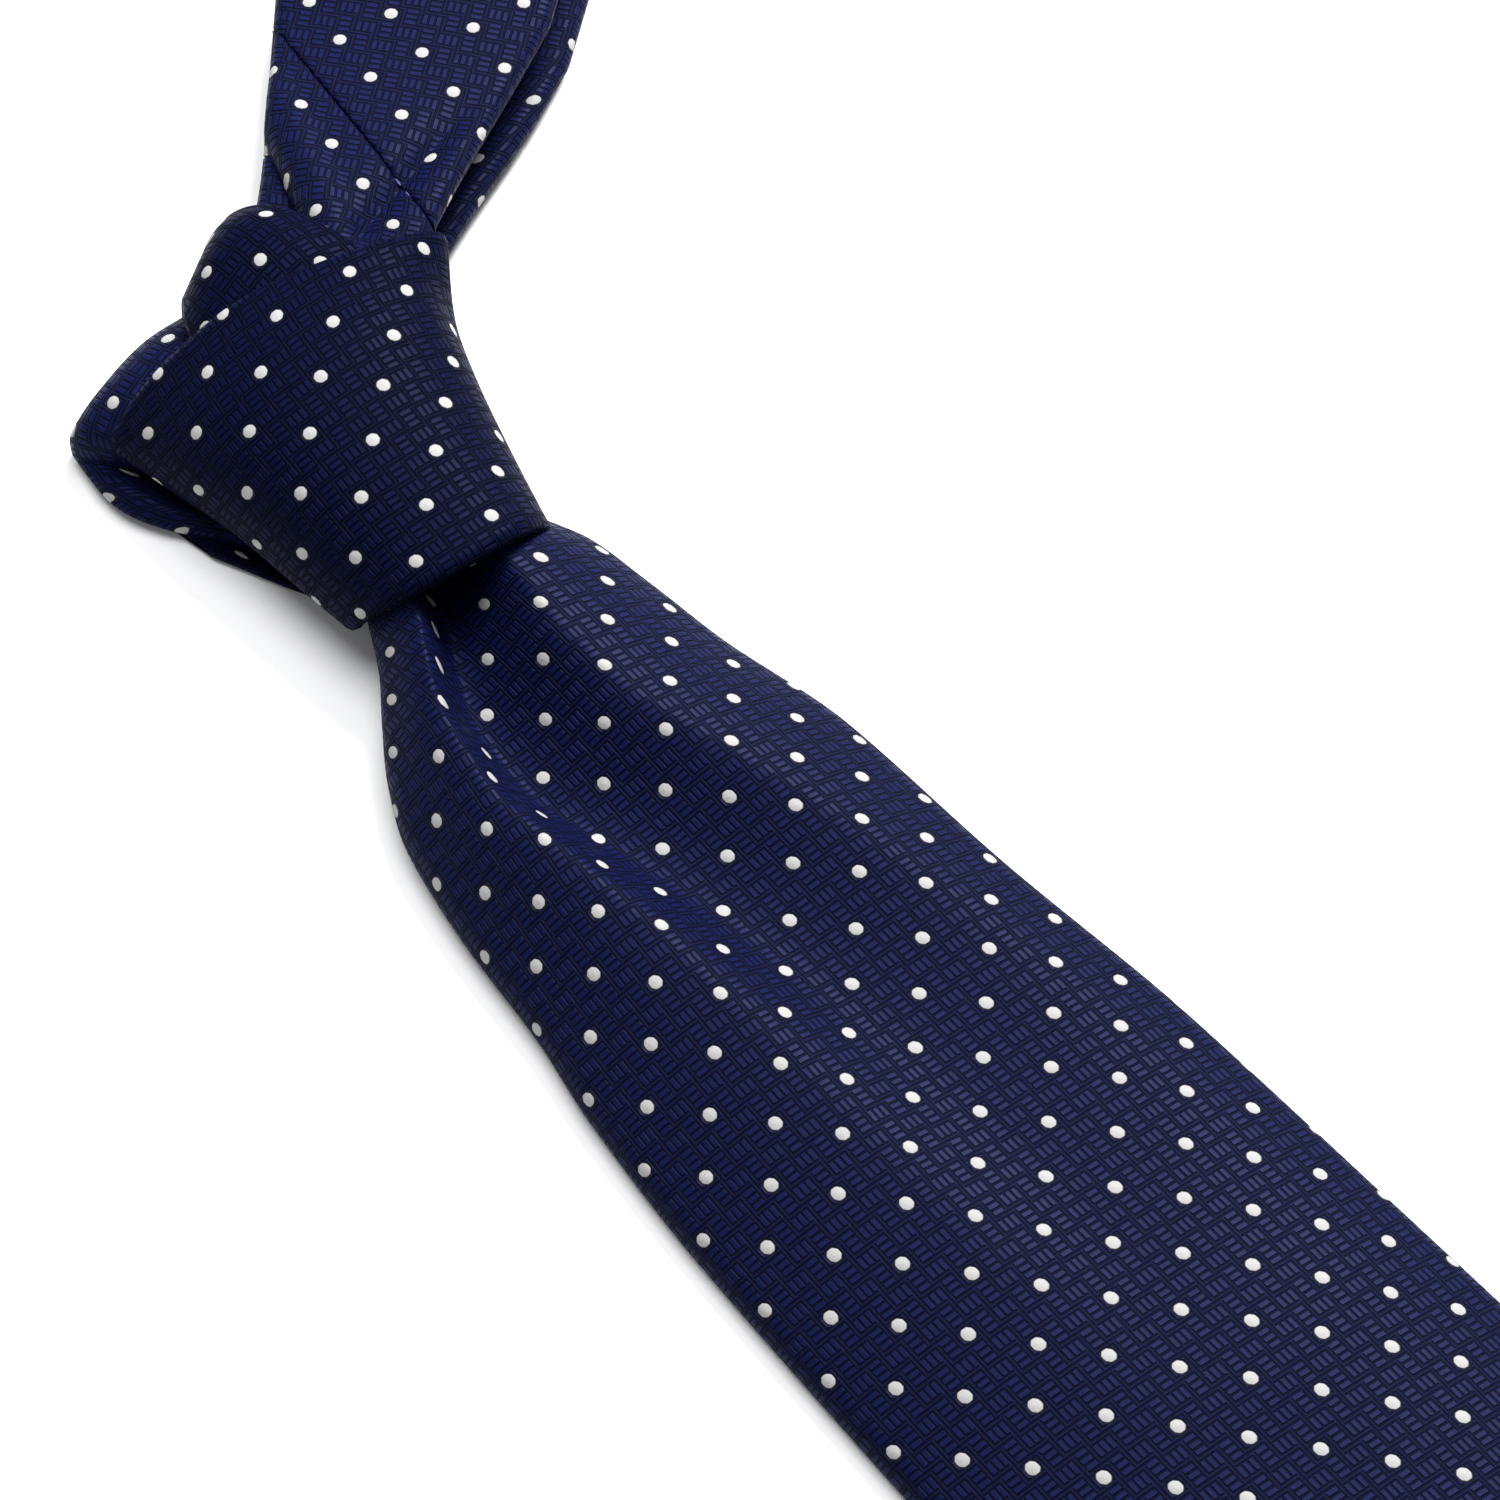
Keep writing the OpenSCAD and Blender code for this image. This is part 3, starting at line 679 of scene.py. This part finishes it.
# The strip pressed flat under the knot, from left to right.
BACK_WRAP = [
    [(-17.5, 3.0, 1.3), (-19.0, 13.0, 1.3), (-17.0, 24.0, 1.3)],
    [(-10.0, -12.0, 0.9), (-9.0, 9.0, 0.9), (-8.5, 29.0, 0.9)],
    [(0.0, -22.0, 0.8), (2.0, 4.0, 0.8), (3.0, 30.5, 0.8)],
    [(9.0, -22.0, 0.9), (12.0, 0.0, 0.9), (14.0, 26.5, 0.9)],
    [(12.4, -20.0, 1.3), (18.5, -2.0, 1.4), (24.5, 14.0, 1.4)],
]


class NECKTIE_OT_knot(bpy.types.Operator):
    """Makes the wraps of the knot: the front band, the top turn, the side fold and the back"""
    bl_idname = "necktie.knot"
    bl_label = "Knot"

    def execute(self, context):
        # The wraps of the knot use the silk with its colour and specular darkened as painted
        # shade.
        silk = material("silk in painted shade")
        rows = 150
        band = padded_strip("knot_front_wrap", net_surface(FRONT_BAND, rows, 90),
                            2.6 * rounded_ends(rows, 10, 10, 0.4),
                            Grain(across=-0.98, along=1.0, skew=-0.08, start=(-4.2, 1.1)),
                            even=True)
        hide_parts("knot_front_wrap", "knot_front_interlining")
        dress(band, silk)
        rows = 110
        top = padded_strip("knot_top_wrap", net_surface(TOP_WRAP, rows, 60), 1.9,
                           Grain(start=(2.0, 3.0)), even=True)
        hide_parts("knot_top_wrap", "knot_top_interlining")
        dress(top, silk)
        rows = 150
        side = padded_strip("knot_side_fold", net_surface(SIDE_FOLD, rows, 44), 1.3,
                            Grain(along=-1.0, start=(3.0, 1.0)), even=True)
        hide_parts("knot_side_fold")
        dress(side, material("silk"))
        rows = 60
        back = padded_strip("knot_back_wrap", net_surface(BACK_WRAP, rows, 40), 1.2,
                            Grain(turn=90.0), even=True)
        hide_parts("knot_back_wrap")
        dress(back, silk)
        for piece in (band, top, side, back):
            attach(piece, "knot")
        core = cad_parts["knot_core"]
        core.data.materials.clear()
        core.data.materials.append(material("thread"))
        return {"FINISHED"}


# ---- Neck loop ----

BAND_THICK = 3.2
BAND_HALF = [(-24, 6.0), (-14, 9.0), (-6, 11.5), (2, 12.5), (37, 19.0)]
UPPER_MID = [(-24, 12.6), (-4, 13.2), (10, 12.4), (30, 11.0), (60, 10.8)]
LOWER_MID = [(-15, 3.4), (20, 3.2), (50, 1.9)]
FOLD_RADIUS = 4.5
UPPER_START, LOWER_START = -24.0, -15.0
SEAM_S = 11.0
BETWEEN_LEGS = 6.6        # height that parts the upper leg from the lower
STITCH_PITCH = 1.9
SEAM_GAP, SEAM_SINK = 0.14, 0.12


def loop_place(s, n, z):
    return MOUTH + LOOP_OUT * s + LOOP_LEFT * n + UP * z


def band_point(run, share):
    """run is the way along the middle: out along the upper leg, round, and back below."""
    upper, turn = LOOP_END - UPPER_START, math.pi * FOLD_RADIUS
    n = 2 * share - 1
    if run < upper:
        s = UPPER_START + run
        z = along(UPPER_MID, s)
        half = along(BAND_HALF, s) - BAND_THICK / 2
        n *= half
        # A pleat folds the left side under where the band enters the knot, and a soft
        # hollow runs in from the right.
        crease = n - (5.0 + 0.62 * s)
        z -= 2.4 * smooth(0.0, 1.6, crease) * smooth(26, 4, s)
        z += 0.9 * math.exp(-((crease + 2.2) / 2.2) ** 2) * smooth(30, 6, s)
        hollow = n + 4.5 + 0.35 * s
        z -= 1.5 * math.exp(-(hollow / 2.3) ** 2) * smooth(-12, -2, s) * smooth(24, 8, s)
        z += 0.5 * (1 - (n / half) ** 2)
        return loop_place(s, n, z)
    if run < upper + turn:
        a = (run - upper) / FOLD_RADIUS
        mid = (UPPER_MID[-1][1] + LOWER_MID[-1][1]) / 2
        radius = (UPPER_MID[-1][1] - LOWER_MID[-1][1]) / 2
        half = BAND_HALF[-1][1] - BAND_THICK / 2
        return loop_place(LOOP_END + FOLD_RADIUS * math.sin(a), n * half,
                          mid + radius * math.cos(a))
    s = LOOP_END - (run - upper - turn)
    half = along(BAND_HALF, s) - BAND_THICK / 2
    aside = -2.2 * smooth(0, 30, s) * smooth(150, 90, s)
    return loop_place(s, n * half + aside, along(LOWER_MID, s))


class NECKTIE_OT_neck_loop(bpy.types.Operator):
    """Makes the neck loop: one band, seamed where the panels join, folded flat at the nape"""
    bl_idname = "necktie.neck_loop"
    bl_label = "Neck loop"

    def execute(self, context):
        length = (LOOP_END - UPPER_START) + math.pi * FOLD_RADIUS + (LOOP_END - LOWER_START)
        rows, columns = 420, 44
        sheet = surface_of(lambda down, across: band_point(down * length, across), rows, columns)
        band = padded_strip("neck_band", sheet, BAND_THICK * rounded_ends(rows, 4, 4),
                            Grain(across=-1.0, start=(2.0, 3.0)), seam=0.4)
        dress(band, material("silk"))
        knot_panel = split_panel(band)
        dress(knot_panel, material("silk"))
        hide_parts("upper_leg_knot_panel")
        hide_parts("upper_leg_neck_panel", "upper_leg_interlining", "nape_band",
                    "nape_interlining", "lower_leg_neck_panel", "lower_leg_tail_panel",
                    "lower_leg_interlining")
        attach(knot_panel, "neck_loop")
        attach(band, "neck_loop")

        def threads(bm):
            for k in range(-8, 9):
                n = k * STITCH_PITCH
                s = SEAM_S + n
                if abs(n) > along(BAND_HALF, s) - 2.5:
                    continue
                z = along(UPPER_MID, s) + BAND_THICK / 2 - 0.75
                stitch(bm, loop_place(s, n, z), 1.5, 0.35, 0.3, LOOP_YAW + math.radians(45))

        seam = thread_piece("neck_joining_seam", threads)
        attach(seam, "neck_loop")
        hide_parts("neck_joining_seam")
        return {"FINISHED"}


def split_panel(band):
    """Cuts the end of the upper leg off the band along its diagonal seam."""
    mesh = band.data
    across = Vector(loop_place(1, -1, 0) - loop_place(0, 0, 0)).normalized()
    middle = Vector(loop_place(SEAM_S, 0, 0)) * MM
    outward = Vector(LOOP_OUT - LOOP_LEFT).normalized()

    def part(keep_panel, gap):
        bm = bmesh.new()
        bm.from_mesh(mesh)
        near = [f for f in bm.faces if f.calc_center_median().z > BETWEEN_LEGS * MM
                and (f.calc_center_median() - Vector(MOUTH) * MM).dot(Vector(LOOP_OUT)) < 0.09]
        geometry = list({v for f in near for v in f.verts}) \
            + list({e for f in near for e in f.edges}) + near
        bmesh.ops.bisect_plane(bm, geom=geometry, plane_co=middle, plane_no=outward, dist=1e-7)

        def in_panel(face):
            centre = face.calc_center_median()
            return (centre - middle).dot(outward) < 0 and centre.z > BETWEEN_LEGS * MM

        gone = [f for f in bm.faces if in_panel(f) != keep_panel]
        bmesh.ops.delete(bm, geom=gone, context="FACES")
        edge = {v for e in bm.edges if e.is_boundary for v in e.verts}
        bmesh.ops.translate(bm, verts=list(edge),
                            vec=outward * ((-gap if keep_panel else gap) * MM))
        for vert in edge:
            vert.co.z -= SEAM_SINK * MM if vert.co.z > 10 * MM else 0.0
        bmesh.ops.holes_fill(bm, edges=[e for e in bm.edges if e.is_boundary], sides=0)
        if keep_panel:
            layer = bm.loops.layers.uv["cloth"]
            for face in bm.faces:
                for loop in face.loops:
                    loop[layer].uv += Vector((0.0021, 0.0013))
        return bm

    panel = finish_piece("upper_leg_knot_panel", part(True, SEAM_GAP))
    rest = part(False, SEAM_GAP)
    rest.to_mesh(mesh)
    rest.free()
    return panel


# ---- Tail ----

TAIL_HALF = [(-14, 9.0), (32, 9.0), (72, 18.0), (322, 22.5)]
TAIL_MID = [(-14, 3.2), (36, 3.2), (72, 1.9)]
TAIL_THICK = 3.0
TAIL_TOP, TAIL_RUN = -14.0, 358.4     # hidden end of the tail, and the length made from it
TAIL_POINT = 22.5


def tail_point(d, share):
    half = along(TAIL_HALF, d) * min(1.0, (TAIL_LENGTH - d) / TAIL_POINT) - TAIL_THICK / 2
    half = max(half, 0.4)
    middle = 1.0 + (BLADE_X - 1.0) * smooth(22, 82, d)
    return middle + (2 * share - 1) * half, RIM_Y - d, along(TAIL_MID, d)


class NECKTIE_OT_tail(bpy.types.Operator):
    """Makes the tail, which lies behind the front blade and slides through the knot"""
    bl_idname = "necktie.tail"
    bl_label = "Tail"

    def execute(self, context):
        rows = 240
        sheet = surface_of(
            lambda down, across: tail_point(TAIL_TOP + TAIL_RUN * down, across), rows, 36)
        tail = padded_strip("tail", sheet, TAIL_THICK * rounded_ends(rows, 3, 3),
                            Grain(along=-1.0, start=(1.0, 2.0)), lift=UP, seam=0.4)
        dress(tail, material("silk"))
        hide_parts("tail_shell", "tail_interlining")
        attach(tail, "tail")
        return {"FINISHED"}


# ---- Linings, keeper and stitches behind the cloth ----

BLADE_BACK_SEAM = (-100.0, -360.0, 12.0)    # slip stitches: first y, last y and pitch
TAIL_BACK_SEAM = (-114.0, -330.0, 12.0)
BLADE_DIAMOND = (-528.0, 40.0, -492.0)      # y of the point, half width and y of the top
TAIL_DIAMOND = (-373.0, 22.5, -354.5)
BLADE_TACK, TAIL_TACK = (-490.0, 4.0), (-352.5, 3.0)    # y and half length
KEEPER_Y, KEEPER_Z = -298.0, 3.72
KEEPER_HALF, KEEPER_HEIGHT, KEEPER_THICK = 20.0, 12.0, 0.45
TAIL_SEAM_S = LOOP_END - 44.5


def blade_back(x, y):
    """Height of the underside of the front blade."""
    d = RIM_Y - y
    left, right = blade_edges(d)
    return blade_point(d, (x - left) / (right - left))[2] - BLADE_THICK / 2


def tail_back(x, y):
    return along(TAIL_MID, RIM_Y - y) - TAIL_THICK / 2


def lining_diamond(name, point_y, half, top_y, back):
    """The satin that shows in the diamond between the folded edges at the back of a point."""
    low, wide = point_y + 0.16 * half, point_y + 0.76 * half

    def rule(down, across):
        y = top_y + (low - top_y) * down
        reach = (top_y - y) / (top_y - wide) if y > wide else (y - low) / (wide - low)
        x = BLADE_X + (2 * across - 1) * max(0.05, 0.36 * half * reach)
        return x, y, back(x, y) - 0.03

    piece = padded_strip(name, surface_of(rule, 40, 24), 0.12, Grain(), lift=UP)
    return dress(piece, material("lining"))


def slip_stitches(name, seam, back):
    def threads(bm):
        y, last, pitch = seam
        while y >= last:
            stitch(bm, (BLADE_X, y - 2.0, back(BLADE_X, y) + 0.2), 4.0, 0.45, 0.5, math.pi / 2)
            y -= pitch

    return thread_piece(name, threads)


def bar_tack(name, y, half, back):
    """Threads laid side by side over the seam, with a few bound across them."""
    def threads(bm):
        low = back(BLADE_X, y)
        for k in range(4):
            stitch(bm, (BLADE_X, y + 0.15 + 0.33 * k, low), 2 * half, 0.36, 0.3)
        for k in range(-5, 6):
            stitch(bm, (BLADE_X + k * half / 6, y + 0.62, low - 0.02), 1.3, 0.3, 0.32,
                   math.pi / 2)

    return thread_piece(name, threads)


class NECKTIE_OT_backs(bpy.types.Operator):
    """Makes the linings, the keeper loop, the slip stitches and the bar tacks"""
    bl_idname = "necktie.backs"
    bl_label = "Linings, keeper and stitches"

    def execute(self, context):
        front = [
            (lining_diamond("front_blade_lining", *BLADE_DIAMOND, blade_back),
             "front_blade_tipping"),
            (slip_stitches("front_blade_slip_stitch", BLADE_BACK_SEAM, blade_back),
             "front_blade_slip_stitch"),
            (bar_tack("front_blade_bar_tack", *BLADE_TACK, blade_back), "front_blade_bar_tack"),
        ]

        def strap(down, across):
            return (BLADE_X + (2 * down - 1) * KEEPER_HALF,
                    KEEPER_Y + (across - 0.5) * KEEPER_HEIGHT, KEEPER_Z)

        keeper = padded_strip("keeper_loop", surface_of(strap, 80, 24), KEEPER_THICK,
                              Grain(across=-1.0, turn=45.0, start=(1.0, 2.0)), lift=UP)
        front.append((dress(keeper, material("silk")), "keeper_loop"))

        def keeper_threads(bm):
            for side in (-1, 1):
                for k in (-1, 0, 1):
                    stitch(bm, (BLADE_X + side * (KEEPER_HALF - 1.5), KEEPER_Y + 3.6 * k,
                                KEEPER_Z - 0.22), 2.4, 0.45, 0.3, math.pi / 2)

        front.append((thread_piece("keeper_stitches", keeper_threads), "keeper_stitches"))
        tail = [
            (lining_diamond("tail_lining", *TAIL_DIAMOND, tail_back), "tail_tipping"),
            (slip_stitches("tail_slip_stitch", TAIL_BACK_SEAM, tail_back), "tail_slip_stitch"),
            (bar_tack("tail_bar_tack", *TAIL_TACK, tail_back), "tail_bar_tack"),
        ]

        def nape_threads(bm):
            s = 60.0
            while s < LOOP_END - 60:
                low = along(UPPER_MID, s) - BAND_THICK / 2
                stitch(bm, loop_place(s + 2.0, 0.0, low + 0.1), 4.0, 0.45, 0.5, LOOP_YAW)
                s += 12.0

        def tail_seam_threads(bm):
            for k in range(-9, 10):
                n = k * STITCH_PITCH
                low = along(LOWER_MID, TAIL_SEAM_S) - BAND_THICK / 2
                stitch(bm, loop_place(TAIL_SEAM_S + n, n, low), 1.5, 0.35, 0.3,
                       LOOP_YAW + math.radians(45))

        loop = [(thread_piece(name, threads), name)
                for name, threads in (("neck_slip_stitch", nape_threads),
                                      ("tail_joining_seam", tail_seam_threads))]
        for body, pieces in (("front_blade", front), ("tail", tail), ("neck_loop", loop)):
            for piece, node in pieces:
                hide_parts(node)
                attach(piece, body)
        return {"FINISHED"}


class NECKTIE_OT_stage(bpy.types.Operator):
    """Makes the pale floor, the soft light and the camera"""
    bl_idname = "necktie.stage"
    bl_label = "Stage"

    def execute(self, context):
        scene = context.scene
        stage = scene.necktie_stage
        bm = bmesh.new()
        bmesh.ops.create_grid(bm, x_segments=1, y_segments=1, size=4.0)
        floor = finish_piece("floor", bm)
        m = Maker("floor")
        soft = m.noise(1.2, 2.0)
        floor.data.materials.append(m.surface(
            Base_Color=m.shade(soft * 0.02 + 0.98, (0.93, 0.93, 0.935, 1.0)), Roughness=0.75,
            Specular_IOR_Level=0.1))

        world = bpy.data.worlds.new("room")
        world.use_nodes = True
        world.node_tree.nodes["Background"].inputs[0].default_value = (0.97, 0.98, 1.0, 1.0)
        world.node_tree.nodes["Background"].inputs[1].default_value = 0.34
        scene.world = world
        for name, place, size, power in (
                ("softbox", (0.75, 0.25, 0.85), 0.5, 32.0),
                ("top", (0.1, 0.25, 1.3), 1.0, 16.0)):
            light = bpy.data.lights.new(name, "AREA")
            light.shape, light.size, light.energy = "DISK", size, power
            lamp = bpy.data.objects.new(name, light)
            scene.collection.objects.link(lamp)
            lamp.location = place
            lamp.rotation_euler = (Vector((0.0, -0.06, 0.0)) - Vector(place)).to_track_quat(
                "-Z", "Y").to_euler()

        camera = bpy.data.cameras.new("camera")
        camera.lens, camera.sensor_width = stage.lens, 36.0
        camera.clip_start, camera.clip_end = 0.01, 20.0
        eye = bpy.data.objects.new("camera", camera)
        scene.collection.objects.link(eye)
        e, a = stage.elevation, stage.azimuth
        back = Vector((math.sin(a) * math.cos(e), -math.cos(a) * math.cos(e), math.sin(e)))
        eye.location = Vector(stage.aim) + back * stage.distance
        eye.rotation_euler = (math.pi / 2 - e, 0.0, a)
        scene.camera = eye
        scene.view_settings.view_transform = "Standard"
        return {"FINISHED"}


class NECKTIE_PT_panel(bpy.types.Panel):
    bl_idname = "NECKTIE_PT_panel"
    bl_label = "Necktie"
    bl_space_type = "VIEW_3D"
    bl_region_type = "UI"
    bl_category = "Necktie"

    def draw(self, context):
        for group in (context.scene.necktie_cloth, context.scene.necktie_stage):
            for name in group.__annotations__:
                self.layout.prop(group, name)
        for operator in OPERATORS:
            self.layout.operator(operator.bl_idname)


GROUPS = (NecktieCloth, NecktieStage)
OPERATORS = (NECKTIE_OT_stage, NECKTIE_OT_front_blade, NECKTIE_OT_knot, NECKTIE_OT_neck_loop,
             NECKTIE_OT_tail, NECKTIE_OT_backs)


def register():
    for cls in GROUPS + OPERATORS + (NECKTIE_PT_panel,):
        bpy.utils.register_class(cls)
    bpy.types.Scene.necktie_cloth = bpy.props.PointerProperty(type=NecktieCloth)
    bpy.types.Scene.necktie_stage = bpy.props.PointerProperty(type=NecktieStage)


def unregister():
    del bpy.types.Scene.necktie_stage
    del bpy.types.Scene.necktie_cloth
    for cls in reversed(GROUPS + OPERATORS + (NECKTIE_PT_panel,)):
        bpy.utils.unregister_class(cls)


def main():
    register()
    bpy.ops.necktie.stage()
    bpy.ops.necktie.front_blade()
    bpy.ops.necktie.knot()
    bpy.ops.necktie.neck_loop()
    bpy.ops.necktie.tail()
    bpy.ops.necktie.backs()


if __name__ == "__main__":
    main()
